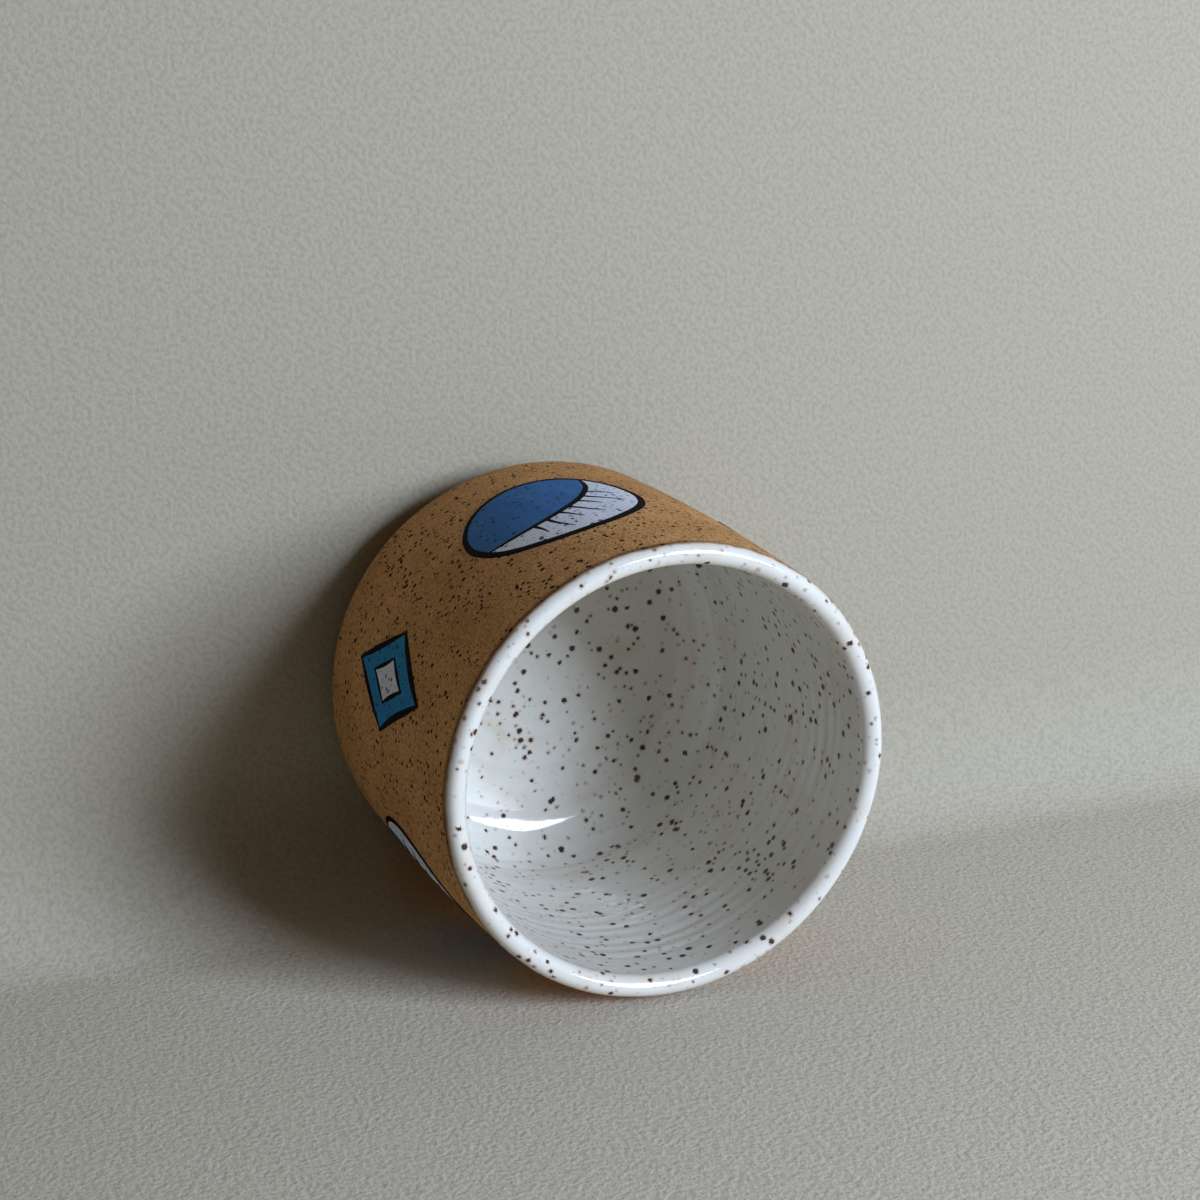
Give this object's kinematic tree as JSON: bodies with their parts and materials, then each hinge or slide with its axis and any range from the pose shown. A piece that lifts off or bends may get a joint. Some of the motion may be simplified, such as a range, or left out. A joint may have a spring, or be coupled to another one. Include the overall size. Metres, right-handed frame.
{
  "type": "stoneware tumbler",
  "caption": "Straight-sided stoneware tumbler with a softly bellied wall, rounded lip, white liner glaze, trimmed foot ring and a painted ring of geometric motifs.",
  "frame": {"origin": "centre of the foot ring, on the surface that the cup stands on", "axes": "+Z along the cup's axis, out of the mouth; +X and +Y are level"},
  "size_m": [0.0884, 0.0888, 0.0775],
  "materials": {
    "clay": "matte, speckled",
    "white_glaze": "gloss, speckled",
    "blue_slip": "satin",
    "teal_slip": "satin",
    "pale_slip": "satin",
    "black_slip": "satin"
  },
  "bodies": {
    "root": {"clay_body": "clay", "liner_glaze": "white_glaze", "blue_slip": "blue_slip", "teal_slip": "teal_slip", "pale_slip": "pale_slip", "black_linework": "black_slip"}
  },
  "joints": []
}
